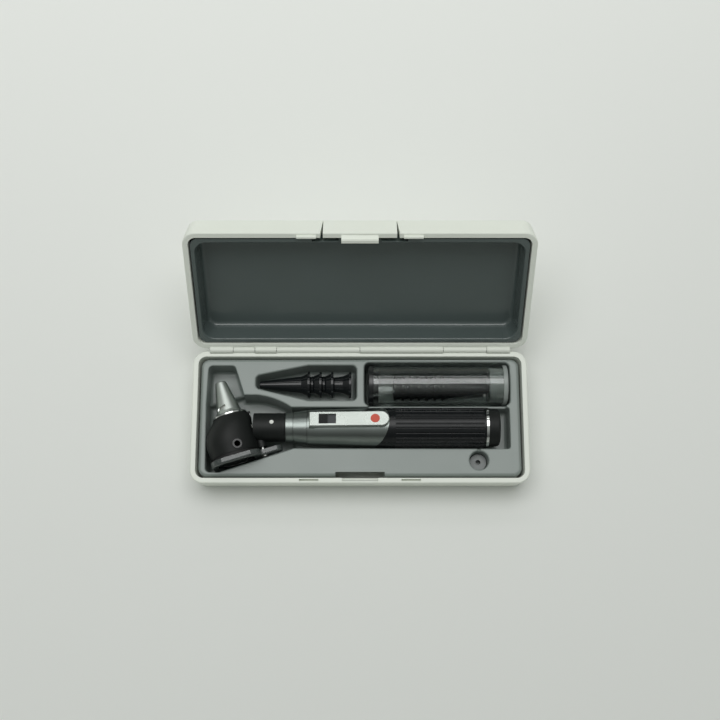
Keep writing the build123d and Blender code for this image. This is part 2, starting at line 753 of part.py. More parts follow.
def liner_bowl(wall, depth):
    """The bowl's hollow grown by a wall: its two ends lean in more than its front and back."""
    side_lean = depth * tan(radians(LINER_SIDE_SLOPE))
    back_lean = depth * tan(radians(LINER_BACK_SLOPE))
    front_lean = depth * tan(radians(LINER_FRONT_SLOPE))
    low = -mouth_y / 2 + LINER_SHOULDER_FRONT - wall
    high = mouth_y / 2 - LINER_SHOULDER_BACK + wall
    length = mouth_x - 2 * LINER_SHOULDER_SIDE + 2 * wall
    radius = CASE_CORNER - LINER_WALL + wall
    with BuildPart() as bowl:
        with BuildSketch(LID.offset(LINER_MOUTH_H)):
            with Locations((0, (low + high) / 2)):
                RectangleRounded(length, high - low, radius)
        with BuildSketch(LID.offset(LINER_MOUTH_H + depth)):
            with Locations((0, (low + front_lean + high - back_lean) / 2)):
                RectangleRounded(length - 2 * side_lean, high - low - back_lean - front_lean, radius - 1.0)
        loft()
    return bowl.part


with BuildPart() as lid_liner:
    with BuildSketch(LID.offset(LINER_MOUTH_H)):
        RectangleRounded(mouth_x, mouth_y, CASE_CORNER - RIM_LAND)
    extrude(amount=LINER_RIM_DEEP, taper=LID_DRAFT)
    with BuildSketch(LID.offset(LINER_MOUTH_H + LINER_WALL)):
        RectangleRounded(
            mouth_x - 2 * LINER_RIM_WALL,
            mouth_y - 2 * LINER_RIM_WALL,
            CASE_CORNER - RIM_LAND - LINER_RIM_WALL,
        )
    extrude(amount=LINER_RIM_DEEP, taper=LID_DRAFT, mode=Mode.SUBTRACT)
    add(liner_bowl(LINER_WALL, liner_depth))
    add(liner_bowl(0.0, liner_depth - LINER_WALL), mode=Mode.SUBTRACT)
    # Rounded floor and mouth
    floor_height = LINER_MOUTH_H + liner_depth - LINER_WALL
    floor_edges = lid_liner.edges().filter_by(
        lambda e: abs(LID.to_local_coords(e.center()).Z - floor_height) < 0.01
    )
    fillet(floor_edges, LINER_FLOOR_ROUND)
    shoulders = lid_liner.faces().filter_by(
        lambda f: abs(LID.to_local_coords(f.center()).Z - LINER_MOUTH_H) < 0.01
    )
    mouth_edges = [edge for face in shoulders for wire in face.inner_wires() for edge in wire.edges()]
    fillet(mouth_edges, LINER_MOUTH_ROUND)
    # Room for the root of the latch tongue, and deeper room for its lip
    with on(LID, (0, -mouth_y / 2, 0)):
        Box(
            2 * LINER_RELIEF_HALF,
            2 * (LINER_SHOULDER_FRONT - LINER_WALL),
            2 * LINER_RELIEF_TOP,
            mode=Mode.SUBTRACT,
        )
        Box(
            2 * (LIP_HALF + LIP_RELIEF_SIDE),
            2 * LIP_RELIEF_DEEP,
            2 * LINER_RELIEF_TOP,
            mode=Mode.SUBTRACT,
        )
save(lid_liner.part, "lid_liner")

# Handle: the outer form, used to cut what sits on it
shell_top = [(shell_left, SHELL_R), (taper_end, GRIP_R), (shell_limit, GRIP_R)]


def oblique_cut(shift):
    """A block that fills everything past the shell's oblique end."""
    with BuildPart() as block:
        with BuildSketch(CLIP_SIDE):
            with BuildLine():
                Polyline(
                    (shell_cut_x + SHELL_CUT_SLOPE * -20 + shift, -20),
                    (RIGHT, -20),
                    (RIGHT, 20),
                    (shell_cut_x + SHELL_CUT_SLOPE * 20 + shift, 20),
                    close=True,
                )
            make_face()
        extrude(amount=20, both=True)
    return block.part


with BuildPart() as handle_core:
    add(
        turned(
            [
                (coupling_left, 3.2), (coupling_left, SPIGOT_R), (shell_left + 0.1, SPIGOT_R),
                (shell_left + 0.1, core_r_front), (core_step, core_r_front), (core_step, core_r_rear),
                (grip_right, core_r_rear), (grip_right, thread_r + THREAD_CLEARANCE),
                (thread_left, thread_r + THREAD_CLEARANCE), (thread_left, cell_bore),
                (cell_bore_left, cell_bore), (cell_bore_left, 3.2),
            ]
        )
    )
save(handle_core.part, "handle_core")

with BuildPart() as neck_collar:
    add(
        turned(
            [
                (collar_left, SPIGOT_R + SEAT_CLEARANCE), (collar_left, COUPLING_R + 0.05),
                (shell_left - 0.25, SHELL_R - 0.15), (shell_left - 0.25, SPIGOT_R + SEAT_CLEARANCE),
            ]
        )
    )
save(neck_collar.part, "neck_collar")

with BuildPart() as silver_shell:
    add(
        turned(
            [(shell_left, core_r_front + SEAT_CLEARANCE)]
            + shell_top
            + [
                (shell_limit, GRIP_R - SHELL_SKIN), (taper_end, GRIP_R - SHELL_SKIN),
                (shell_left + 2.0, core_r_front + SEAT_CLEARANCE),
            ]
        )
    )
    add(oblique_cut(0.0), mode=Mode.SUBTRACT)
save(silver_shell.part, "silver_shell")

seat_skin = SHELL_SKIN + SEAT_CLEARANCE
with BuildPart() as shell_seat:
    add(
        turned(
            [
                (shell_left, core_r_front), (shell_left, SHELL_R + 3), (shell_limit, GRIP_R + 3),
                (shell_limit, GRIP_R - seat_skin), (taper_end, GRIP_R - seat_skin),
                (shell_left + 2.0, core_r_front),
            ]
        )
    )
    add(oblique_cut(SHELL_CUT_GAP), mode=Mode.SUBTRACT)

with BuildPart() as grip_sleeve:
    add(
        turned(
            [
                (grip_left, core_r_front + SEAT_CLEARANCE), (grip_left, handle_radius(grip_left)),
                (taper_end, GRIP_R), (grip_right - 0.4, GRIP_R), (grip_right, GRIP_R - 0.4),
                (grip_right, core_r_rear + SEAT_CLEARANCE), (core_step - 0.1, core_r_rear + SEAT_CLEARANCE),
                (core_step - 0.1, core_r_front + SEAT_CLEARANCE),
            ]
        )
    )
    add(shell_seat.part, mode=Mode.SUBTRACT)
    with Locations(Plane(origin=((rib_left + rib_right) / 2, axis_y, axis_z), z_dir=(1, 0, 0))):
        with PolarLocations(GRIP_R + 0.05, RIB_COUNT):
            Cylinder(RIB_GROOVE_R, rib_right - rib_left, mode=Mode.SUBTRACT)
save(grip_sleeve.part, "grip_sleeve")

with BuildPart() as cap_trim_ring:
    ring_left = grip_right + TRIM_RING_GAP
    ring_right = cap_left - TRIM_RING_GAP
    ring_bore = thread_r + 0.1
    add(turned([(ring_left, ring_bore), (ring_left, GRIP_R), (ring_right, GRIP_R), (ring_right, ring_bore)]))
save(cap_trim_ring.part, "cap_trim_ring")

with BuildPart() as end_cap:
    add(
        turned(
            [
                (thread_left + 0.2, thread_r - 0.9), (thread_left + 0.2, thread_r), (cap_left, thread_r),
                (cap_left, GRIP_R - 0.4), (cap_right - 1.2, GRIP_R - 0.9), (cap_right - 0.4, GRIP_R - 1.3),
                (cap_right, GRIP_R - 2.1), (cap_right, 0.0), (cap_right - 1.5, 0.0),
                (cap_right - 1.5, thread_r - 0.9),
            ]
        )
    )
save(end_cap.part, "end_cap")


def dry_cell(left):
    """A cylindrical dry cell with its positive nub on the left."""
    return turned(
        [
            (left - CELL_NUB, 0), (left - CELL_NUB, CELL_NUB_R), (left, CELL_NUB_R), (left, CELL_R),
            (left + cell_body, CELL_R), (left + cell_body, 0),
        ]
    )


save(dry_cell(front_cell_left), "battery_front")
save(dry_cell(front_cell_left + cell_pitch), "battery_rear")

spring_left = cells_right + 0.55
with BuildPart() as contact_spring:
    with BuildLine() as coil:
        Helix(pitch=1.3, height=5.1, radius=4.0, center=(spring_left, axis_y, axis_z), direction=(1, 0, 0))
    with BuildSketch(Plane(origin=coil.line @ 0, z_dir=coil.line % 0)):
        Circle(0.42)
    sweep()
save(contact_spring.part, "contact_spring")

nub_left = front_cell_left - CELL_NUB - SEAT_CLEARANCE
with BuildPart() as front_contact:
    add(
        turned(
            [
                (coupling_left + 0.2, 0), (coupling_left + 0.2, 1.2), (cell_bore_left + 0.1, 1.2),
                (cell_bore_left + 0.1, 2.9), (nub_left, 2.9), (nub_left, 0),
            ]
        )
    )
save(front_contact.part, "front_contact")

with BuildPart() as contact_insulator:
    add(
        turned(
            [
                (cell_bore_left, 3.0), (cell_bore_left, cell_bore - 0.1),
                (front_cell_left - 0.1, cell_bore - 0.1), (front_cell_left - 0.1, 3.0),
            ]
        )
    )
save(contact_insulator.part, "contact_insulator")

# Pocket clip with the switch window; its foot sits saddle-wise on the shell
clip_under_left = handle_radius(clip_left + CLIP_FOOT) + CLIP_UNDER_GAP
clip_under_right = GRIP_R + CLIP_UNDER_GAP
handle_body = turned(
    [(collar_left, 0), (collar_left, handle_radius(collar_left) + CLIP_SEAT)]
    + [(x, r + CLIP_SEAT) for x, r in shell_top]
    + [(shell_limit, 0)]
)
with BuildPart() as pocket_clip:
    with BuildSketch(CLIP_SIDE):
        with BuildLine():
            Polyline(
                (clip_left, 9.0), (clip_left + CLIP_FOOT, 9.0), (clip_left + CLIP_FOOT, clip_under_left),
                (clip_end, clip_under_right), (clip_end, clip_top_right), (clip_left, clip_top_left),
                close=True,
            )
        make_face()
    extrude(amount=CLIP_HALF, both=True)
    with BuildSketch(HANDLE):
        with Locations(((clip_left + clip_round_x) / 2, 0)):
            Rectangle(clip_round_x - clip_left, 2 * CLIP_HALF)
        with Locations((clip_round_x, 0)):
            Circle(CLIP_HALF)
    extrude(amount=20, mode=Mode.INTERSECT)
    rim = pocket_clip.edges().filter_by(lambda e: HANDLE.to_local_coords(e.center()).Z > clip_top_left - 0.05)
    chamfer(rim, CLIP_BEVEL)
    with on(HANDLE, (window_middle, 0, clip_top_left + 0.9)):
        Box(WINDOW_LENGTH, 2 * WINDOW_HALF, 8, mode=Mode.SUBTRACT)
    with on(HANDLE, (window_middle, 0, clip_top_left - WINDOW_LIP)):
        Box(
            WINDOW_LENGTH + 1.2,
            2 * TRACK_HALF,
            3.0,
            align=(Align.CENTER, Align.CENTER, Align.MAX),
            mode=Mode.SUBTRACT,
        )
    add(handle_body, mode=Mode.SUBTRACT)
    with on(HANDLE, (marker_x, 0, clip_top_right)):
        Cylinder(MARKER_R + SEAT_CLEARANCE, 2 * MARKER_SINK, mode=Mode.SUBTRACT)
save(pocket_clip.part, "pocket_clip")

with BuildPart() as marker_disc:
    with on(HANDLE, (marker_x, 0, clip_top_right - MARKER_SINK)):
        Cylinder(MARKER_R, MARKER_THICK, align=(Align.CENTER, Align.CENTER, Align.MIN))
save(marker_disc.part, "marker_disc")

with BuildPart() as switch_track:
    with on(HANDLE, (window_middle, 0, TRACK_TOP)):
        Box(
            WINDOW_LENGTH + 1.0,
            2 * TRACK_HALF - 0.2,
            TRACK_THICK,
            align=(Align.CENTER, Align.CENTER, Align.MAX),
        )
    add(handle_body, mode=Mode.SUBTRACT)
save(switch_track.part, "switch_track")

with BuildPart() as slide_switch:
    with on(HANDLE, (window_left + 0.2, 0, TRACK_TOP + 0.05)):
        Box(SWITCH_LENGTH, 2 * SWITCH_HALF, 1.75, align=(Align.MIN, Align.CENTER, Align.MIN))
    with on(HANDLE, (window_left + 0.05, 0, TRACK_TOP + 0.05)):
        Box(SWITCH_LENGTH + 0.3, 2 * TRACK_HALF - 0.3, 0.25, align=(Align.MIN, Align.CENTER, Align.MIN))
    groove_steps = [window_left + 0.2 + SWITCH_LENGTH * (i + 1) / 5 for i in range(4)]
    with on(HANDLE, *[(x, 0, TRACK_TOP + 1.8) for x in groove_steps]):
        Box(0.4, 2 * SWITCH_HALF, 0.7, mode=Mode.SUBTRACT)
save(slide_switch.part, "slide_switch")

# Head housing: lofted through circles, hollow, with a bore for the neck
neck_axis = Plane(origin=(0, axis_y, axis_z), z_dir=(1, 0, 0))
with BuildPart() as housing_outer:
    for w, u, r in HEAD_STATIONS:
        with BuildSketch(HEAD.offset(w)):
            with Locations((u, 0)):
                Circle(r)
    loft()
    with BuildSketch(HEAD):
        with Locations((PIVOT_U, 0)):
            Circle(PIVOT_BOSS_R)
    extrude(amount=6.0)

port_angle = radians(PORT_TILT)
port_dir = HEAD_N * sin(port_angle) + Vector(0, 0, cos(port_angle))
port_centre = HEAD.from_local_coords((HEAD_STATIONS[1][1], 0, PORT_W))
PORT = Plane(origin=port_centre, x_dir=HEAD_D, z_dir=port_dir)

with BuildPart() as housing_hollow:
    for w, u, r in HEAD_STATIONS:
        with BuildSketch(HEAD.offset(w - 0.02 if w < 1 else w - HEAD_WALL)):
            with Locations((u, 0)):
                Circle(r - HEAD_WALL)
    loft()

with BuildPart() as head_housing:
    add(housing_outer.part)
    add(housing_hollow.part, mode=Mode.SUBTRACT)
    with BuildSketch(HEAD.offset(HEAD_STATIONS[-1][0] - 4.0)):
        Circle(HEAD_FRONT_BORE)
    extrude(amount=6.0, mode=Mode.SUBTRACT)
    with BuildSketch(neck_axis.offset(neck_left - 6)):
        Circle(NECK_BORE)
    extrude(amount=20.0, mode=Mode.SUBTRACT)
    with BuildSketch(HEAD.offset(-0.5)):
        with Locations((PIVOT_U, 0)):
            Circle(PIVOT_PIN_R + 0.02)
    extrude(amount=6.0, mode=Mode.SUBTRACT)
    with BuildSketch(PORT.offset(8.0)):
        Circle(PORT_R + 0.02)
    extrude(amount=12.0, mode=Mode.SUBTRACT)
save(head_housing.part, "head_housing")

with BuildPart() as head_neck:
    with BuildSketch(neck_axis.offset(neck_left)):
        Circle(NECK_R)
        Circle(NECK_BORE, mode=Mode.SUBTRACT)
    extrude(amount=neck_right - neck_left)
    add(housing_outer.part, mode=Mode.SUBTRACT)
    with on(HANDLE, (neck_left + INDEX_DOT_AT, 0, NECK_R)):
        Cylinder(INDEX_DOT_R + SEAT_CLEARANCE, 1.0, mode=Mode.SUBTRACT)
save(head_neck.part, "head_neck")

with BuildPart() as index_dot:
    with on(HANDLE, (neck_left + INDEX_DOT_AT, 0, NECK_R - 0.45)):
        Cylinder(INDEX_DOT_R, 0.5, align=(Align.CENTER, Align.CENTER, Align.MIN))
save(index_dot.part, "index_dot")

coupling_right = coupling_left + COUPLING_LENGTH
with BuildPart() as coupling_ring:
    add(
        turned(
            [
                (coupling_left, SPIGOT_R + SEAT_CLEARANCE), (coupling_left, COUPLING_R - 0.3),
                (coupling_left + 0.3, COUPLING_R), (coupling_right - 0.1, COUPLING_R),
                (coupling_right, COUPLING_R - 0.1), (coupling_right, SPIGOT_R + SEAT_CLEARANCE),
            ]
        )
    )
save(coupling_ring.part, "coupling_ring")

front = HEAD_STATIONS[-1][0]
ring_top = front + 0.02 + LOCK_RING_THICK
flange_top = ring_top + 0.02 + FLANGE_THICK
with BuildPart() as lock_ring:
    add(
        turned_head(
            [
                (front + 0.02, HEAD_FRONT_BORE), (front + 0.02, LOCK_RING_R), (ring_top, LOCK_RING_R),
                (ring_top, HEAD_FRONT_BORE),
            ]
        )
    )
    with on(HEAD, (LOCK_RING_R + 0.4, 0, front + 0.02)):
        Box(2.2, 2.6, LOCK_RING_THICK, align=(Align.CENTER, Align.CENTER, Align.MIN))
save(lock_ring.part, "lock_ring")

with BuildPart() as cone_flange:
    add(
        turned_head(
            [
                (ring_top + 0.02, HEAD_FRONT_BORE), (ring_top + 0.02, FLANGE_R), (flange_top - 0.4, FLANGE_R),
                (flange_top, FLANGE_R - 0.4), (flange_top, HEAD_FRONT_BORE),
            ]
        )
    )
save(cone_flange.part, "cone_flange")

cone_low = flange_top + 0.02
cone_top = cone_low + CONE_LENGTH
with BuildPart() as speculum_cone:
    add(
        turned_head(
            [
                (cone_low, CONE_BASE_R - CONE_WALL), (cone_low, CONE_BASE_R + 0.9),
                (cone_low + 0.9, CONE_BASE_R + 0.15), (cone_low + 2.2, CONE_BASE_R - 0.45),
                (cone_top - 0.5, CONE_TIP_R), (cone_top, CONE_TIP_R - 0.4),
                (cone_top, CONE_TIP_R - CONE_WALL),
            ]
        )
    )
    # Bayonet slot across the upper left of the cone
    with on(HEAD, (-4.5, -6.4, cone_low + 4.0)):
        Box(8.0, 5.0, SLOT_WIDE, rotation=(0, -SLOT_TURN, 0), mode=Mode.SUBTRACT)
save(speculum_cone.part, "speculum_cone")

fibre_out = 0.08 + CONE_WALL
with BuildPart() as fibre_sleeve:
    add(
        turned_head(
            [
                (cone_low + 0.3, CONE_BASE_R - fibre_out - FIBRE_WALL - 0.55),
                (cone_low + 0.3, CONE_BASE_R - fibre_out - 0.55),
                (cone_top - 0.2, CONE_TIP_R - fibre_out),
                (cone_top - 0.2, CONE_TIP_R - fibre_out - FIBRE_WALL),
            ]
        )
    )
save(fibre_sleeve.part, "fibre_sleeve")

# Fibre bundle from the lamp to the sleeve, inside the head
bulb_left = neck_left + BULB_START
bundle_start = Vector(bulb_left - 0.3, axis_y, axis_z)
bundle_end = HEAD.from_local_coords((5.1, 0, cone_low + 0.25))
with BuildPart() as fibre_bundle:
    with BuildLine() as bundle_path:
        Spline(bundle_start, bundle_end, tangents=[(-1, 0, 0), HEAD_D])
    with BuildSketch(Plane(origin=bundle_path.line @ 0, z_dir=bundle_path.line % 0)):
        Circle(FIBRE_BUNDLE_R)
    sweep()
save(fibre_bundle.part, "fibre_bundle")

with BuildPart() as lamp_bulb:
    add(
        turned(
            [
                (bulb_left, 0), (bulb_left, 0.9), (bulb_left + 0.7, 1.9), (bulb_left + 1.9, 2.3),
                (bulb_left + 6.8, 2.3), (bulb_left + 6.8, 0),
            ]
        )
    )
save(lamp_bulb.part, "lamp_bulb")

with BuildPart() as lamp_socket:
    add(
        turned(
            [
                (bulb_left + 6.9, 0), (bulb_left + 6.9, 3.4), (bulb_left + 8.5, 3.4),
                (bulb_left + 8.5, NECK_BORE - SEAT_CLEARANCE), (bulb_left + 11.5, NECK_BORE - SEAT_CLEARANCE),
                (bulb_left + 11.5, 2.0), (coupling_left + 0.1, 2.0), (coupling_left + 0.1, 0),
            ]
        )
    )
save(lamp_socket.part, "lamp_socket")

with BuildPart() as insufflation_port:
    with BuildSketch(PORT.offset(10.6)):
        Circle(PORT_R)
        Circle(PORT_BORE, mode=Mode.SUBTRACT)
    extrude(amount=PORT_LENGTH)
save(insufflation_port.part, "insufflation_port")

gasket_u = HEAD_STATIONS[0][1]
with BuildPart() as window_gasket:
    with BuildSketch(HEAD.offset(-GASKET_THICK)):
        with Locations((gasket_u, 0)):
            Circle(GASKET_R)
            Circle(GASKET_R - GASKET_WIDTH, mode=Mode.SUBTRACT)
    extrude(amount=GASKET_THICK - 0.02)
save(window_gasket.part, "window_gasket")

frame_centre = (FRAME_U_LEFT + FRAME_U_RIGHT) / 2
frame_width = FRAME_U_RIGHT - FRAME_U_LEFT
frame_back = FRAME_FRONT - FRAME_THICK
with BuildPart() as window_frame:
    with BuildSketch(HEAD.offset(frame_back)):
        with Locations((frame_centre, 0)):
            RectangleRounded(frame_width, 2 * FRAME_HALF_HEIGHT, FRAME_CORNER)
        with Locations(((THUMB_TAB_END + 4.0) / 2, 0)):
            RectangleRounded(THUMB_TAB_END - 4.0, 2 * THUMB_TAB_HALF, THUMB_TAB_HALF - 0.4)
        with Locations((gasket_u, 0)):
            RectangleRounded(
                2 * (FRAME_U_RIGHT - gasket_u - FRAME_BORDER - 1.8),
                2 * (FRAME_HALF_HEIGHT - FRAME_BORDER),
                FRAME_CORNER - 2.0,
                mode=Mode.SUBTRACT,
            )
        with Locations((PIVOT_U, 0)):
            Circle(PIVOT_PIN_R + PIVOT_CLEARANCE, mode=Mode.SUBTRACT)
    extrude(amount=FRAME_THICK)
    front_face = window_frame.faces().sort_by(Axis(HEAD.origin, HEAD_D))[0]
    fillet(front_face.outer_wire().edges(), FRAME_ROUND)
save(window_frame.part, "window_frame")

lens_half_x = FRAME_U_RIGHT - gasket_u - FRAME_BORDER - 1.8 - SEAT_CLEARANCE
lens_half_y = FRAME_HALF_HEIGHT - FRAME_BORDER - SEAT_CLEARANCE
with BuildPart() as magnifier_lens:
    with BuildSketch(HEAD.offset(frame_back + 0.2)):
        with Locations((gasket_u, 0)):
            RectangleRounded(2 * lens_half_x, 2 * lens_half_y, FRAME_CORNER - 2.0 - SEAT_CLEARANCE)
    extrude(amount=FRAME_THICK - 0.6)
    with on(HEAD, (gasket_u, 0, frame_back + 0.2 + 48.0)):
        Sphere(48.0, mode=Mode.INTERSECT)
save(magnifier_lens.part, "magnifier_lens")

with BuildPart() as window_pin:
    with BuildSketch(HEAD.offset(frame_back - 0.1)):
        with Locations((PIVOT_U, 0)):
            Circle(PIVOT_PIN_R)
    extrude(amount=FRAME_THICK + 7.0)
    with BuildSketch(HEAD.offset(frame_back - 0.5)):
        with Locations((PIVOT_U, 0)):
            Circle(PIN_HEAD_R)
    extrude(amount=0.42)
save(window_pin.part, "window_pin")


def speculum(tip, facing, y, z, length, tip_r, cone_r, flange_r, wall):
    """A hollow ear speculum along X with its tip at tip, pointing to -X or +X by facing."""
    hip = length - 5.2
    bead = 0.3
    outline = [
        (0.0, tip_r - wall), (0.0, tip_r - bead), (bead, tip_r), (hip, cone_r),
        (length - 1.3, flange_r - 1.1), (length - 1.3, flange_r), (length, flange_r),
        (length, flange_r - 1.2 - wall), (hip - 0.2, cone_r - wall),
    ]
    return turned([(tip - facing * along, r) for along, r in outline], y, z)


for i, tip in enumerate(spare_tips):
    spare = speculum(
        tip, -1, spare_y, spare_z, spare_length, SPARE_TIP_R, SPARE_CONE_R, SPARE_FLANGE_R, SPARE_WALL
    )
    save(spare, "spare_speculum_" + str(i + 1))

for i in range(DISPOSABLE_COUNT):
    disposable = speculum(
        disposable_tip_x - DISPOSABLE_PITCH * i, 1, disposable_y, disposable_z, disposable_length,
        DISPOSABLE_TIP_R, DISPOSABLE_CONE_R, DISPOSABLE_FLANGE_R, DISPOSABLE_WALL,
    )
    save(disposable, "disposable_speculum_" + str(i + 1))

# Dispenser tube with a base plug and an end cap
plug_left = TUBE_LEFT + TUBE_BASE_THICK
body_left = plug_left + TUBE_FIT
body_right = tube_right - TUBE_CAP_RIM - TUBE_FIT
save(
    turned(
        [(body_left, tube_inner), (body_left, TUBE_R), (body_right, TUBE_R), (body_right, tube_inner)],
        tube_y,
        tube_z,
    ),
    "tube_body",
)
save(
    turned(
        [
            (TUBE_LEFT, 0), (TUBE_LEFT, TUBE_RIM_R - 0.5), (TUBE_LEFT + 0.5, TUBE_RIM_R),
            (plug_left, TUBE_RIM_R),
            (plug_left, tube_inner - TUBE_FIT), (plug_left + 3.0, tube_inner - TUBE_FIT),
            (plug_left + 3.0, tube_inner - 1.2), (plug_left, tube_inner - 1.2), (plug_left, 0),
        ],
        tube_y,
        tube_z,
    ),
    "tube_base",
)
cap_face = tube_right - TUBE_CAP_RIM
save(
    turned(
        [
            (tube_right, 0), (tube_right, TUBE_RIM_R - 0.5), (tube_right - 0.5, TUBE_RIM_R),
            (cap_face, TUBE_RIM_R),
            (cap_face, tube_inner - TUBE_FIT), (cap_face - TUBE_PLUG_LENGTH, tube_inner - TUBE_FIT),
            (cap_face - TUBE_PLUG_LENGTH, tube_inner - 1.1), (tube_right - 1.2, tube_inner - 1.1),
            (tube_right - 1.2, 0),
        ],
        tube_y,
        tube_z,
    ),
    "tube_cap",
)
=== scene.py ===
import math

import bpy
import numpy as np
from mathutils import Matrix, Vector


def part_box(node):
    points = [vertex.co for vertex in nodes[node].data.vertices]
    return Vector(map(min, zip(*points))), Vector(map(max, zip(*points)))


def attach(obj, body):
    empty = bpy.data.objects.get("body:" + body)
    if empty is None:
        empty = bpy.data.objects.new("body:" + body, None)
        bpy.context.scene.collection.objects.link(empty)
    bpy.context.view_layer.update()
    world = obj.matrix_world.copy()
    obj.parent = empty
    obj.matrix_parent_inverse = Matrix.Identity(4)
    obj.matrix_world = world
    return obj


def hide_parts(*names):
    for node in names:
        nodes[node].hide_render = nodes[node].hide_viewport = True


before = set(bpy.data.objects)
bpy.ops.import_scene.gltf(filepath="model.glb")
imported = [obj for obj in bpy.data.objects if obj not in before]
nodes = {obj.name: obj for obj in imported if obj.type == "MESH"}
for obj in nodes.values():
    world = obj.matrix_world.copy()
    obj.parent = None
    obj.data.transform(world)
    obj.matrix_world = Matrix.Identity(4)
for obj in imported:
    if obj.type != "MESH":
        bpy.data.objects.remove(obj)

# An otoscope carry case, open, with the instrument, its spare specula and a tube of disposable specula.
# Metres. The origin is the centre of the underside, +X to the right, +Y to the hinge, +Z up.

MM = 0.001
SHARP_ANGLE = math.radians(30)
TUBE_WALL = 1.2 * MM
TUBE_SIDES = 192
FLOOR_HALF = 5.0
FLOOR_STEPS = 101
FLOOR_FLAT = 2.0
SWEEP_RUN = 2.5
SWEEP_HEIGHT = 1.6
BRIGHTEST_WAY = (0.0, 0.42, 0.9075)
ROOM_DIM = 0.12
ROOM_BRIGHT = 0.5
CAMERA_TIP = math.radians(13.479)
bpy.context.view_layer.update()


# ---------------------------------------------------------------- finishes

def linear(hex_colour):
    """An sRGB hex colour as linear RGBA: c / 12.92 below 0.04045, else ((c + 0.055) / 1.055) ** 2.4."""
    srgb = np.array([int(hex_colour[i:i + 2], 16) for i in (1, 3, 5)]) / 255.0
    rgb = np.where(srgb <= 0.04045, srgb / 12.92, ((srgb + 0.055) / 1.055) ** 2.4)
    return (*(float(c) for c in rgb), 1.0)


def add(tree, kind, fields=None, **inputs):
    """Add a node; fields are its own settings, inputs are numbers, colours or sockets to link."""
    node = tree.nodes.new(kind)
    for field, value in (fields or {}).items():
        setattr(node, field, value)
    for name, value in inputs.items():
        socket = node.inputs[name.replace("_", " ")]
        if isinstance(value, bpy.types.NodeSocket):
            tree.links.new(value, socket)
        else:
            socket.default_value = value
    return node


def finish(
    name, light, dark, patch_mm, grain_mm, grain_depth_mm, rough, rough_swing, stretch=(1, 1, 1), **set_on
):
    """One material: two near tones in soft patches, a fine grain as bump, roughness that follows the patches.

    patch_mm and grain_mm are the sizes drawn, in millimetres. Real grain on such surfaces is
    finer, so it is drawn coarser than it is, to show. A grain depth of 0 leaves the grain out.
    """
    material = bpy.data.materials.new(name)
    material.use_nodes = True
    tree = material.node_tree
    tree.nodes.clear()
    place = add(tree, "ShaderNodeTexCoord").outputs["Object"]
    drawn = add(tree, "ShaderNodeMapping", Vector=place, Scale=stretch).outputs["Vector"]
    patches = add(
        tree, "ShaderNodeTexNoise", Vector=drawn, Scale=1 / (patch_mm * MM), Detail=3.0
    ).outputs["Fac"]
    grain = add(
        tree, "ShaderNodeTexNoise", Vector=drawn, Scale=1 / (grain_mm * MM), Detail=2.0
    ).outputs["Fac"]
    tone = add(tree, "ShaderNodeMix", {"data_type": "RGBA"})
    tree.links.new(patches, tone.inputs["Factor"])
    tone.inputs[6].default_value = linear(dark)
    tone.inputs[7].default_value = linear(light)
    gloss = add(
        tree, "ShaderNodeMapRange", Value=patches, From_Min=0.3, From_Max=0.7,
        To_Min=rough - rough_swing, To_Max=rough + rough_swing,
    ).outputs["Result"]
    bump = add(
        tree, "ShaderNodeBump", Height=grain, Distance=grain_depth_mm * MM, Strength=0.6
    ).outputs["Normal"]
    shader = add(tree, "ShaderNodeBsdfPrincipled", Base_Color=tone.outputs[2], Roughness=gloss, Normal=bump)
    for socket, value in set_on.items():
        shader.inputs[socket.replace("_", " ")].default_value = value
    out = add(tree, "ShaderNodeOutputMaterial")
    tree.links.new(shader.outputs["BSDF"], out.inputs["Surface"])
    return material


# After the two tones come patch_mm, grain_mm, grain_depth_mm, rough and rough_swing, in that order.

# ABS, spark-eroded mould: a warm off-white with a faint green, soft satin light along its rims
abs_shell = finish("abs_spark_eroded_off_white", "#edf1e8", "#e6ebe0", 30, 0.6, 0.010, 0.42, 0.04, IOR=1.54)
# Polystyrene sheet, vacuum formed: mid grey, even satin, slightly softened by the forming
ps_tray = finish("polystyrene_formed_mid_grey", "#8c9591", "#858e89", 40, 1.6, 0.008, 0.36, 0.05, IOR=1.59)
# Polystyrene, moulded: the lamp cup, a darker grey than the tray round it
ps_cup = finish("polystyrene_moulded_dark_grey", "#6c7270", "#656b69", 10, 0.8, 0.004, 0.34, 0.04, IOR=1.59)
# Polystyrene sheet, vacuum formed, glossier face: slate grey with long highlights on its rounds
ps_liner = finish("polystyrene_formed_slate", "#566160", "#515b59", 45, 2.2, 0.005, 0.20, 0.04, IOR=1.59)
# Steel wire, drawn: bright, streaked along its length
steel_wire = finish(
    "steel_drawn", "#b4b6b3", "#9fa19e", 3, 0.4, 0.003, 0.28, 0.05, stretch=(0.1, 1, 1), Metallic=1.0
)
# Spring strip, satin nickel-chrome plated: the pocket clip, pale grey metal with a broad soft highlight
satin_plate = finish("nickel_chrome_satin", "#ced4cf", "#c9cfca", 12, 0.5, 0.0, 0.27, 0.02, Metallic=1.0)
# Brass cone, blasted then nickel plated: pale, softer than the clip, shaded smoothly round its taper
blasted_plate = finish("nickel_plate_blasted", "#ced4cf", "#c9cfca", 12, 0.5, 0.0, 0.38, 0.02, Metallic=1.0)
# Zinc shell, blasted and dark chrome plated: grey metal, darker where it turns away from the light
dark_plate = finish("dark_chrome_blasted", "#8b928f", "#858b88", 12, 0.4, 0.0, 0.30, 0.02, Metallic=1.0)
# Brass, polished nickel-chrome plated: a thin bright line
bright_plate = finish("nickel_chrome_polished", "#d8dad8", "#d0d2d0", 8, 0.5, 0.001, 0.10, 0.02, Metallic=1.0)
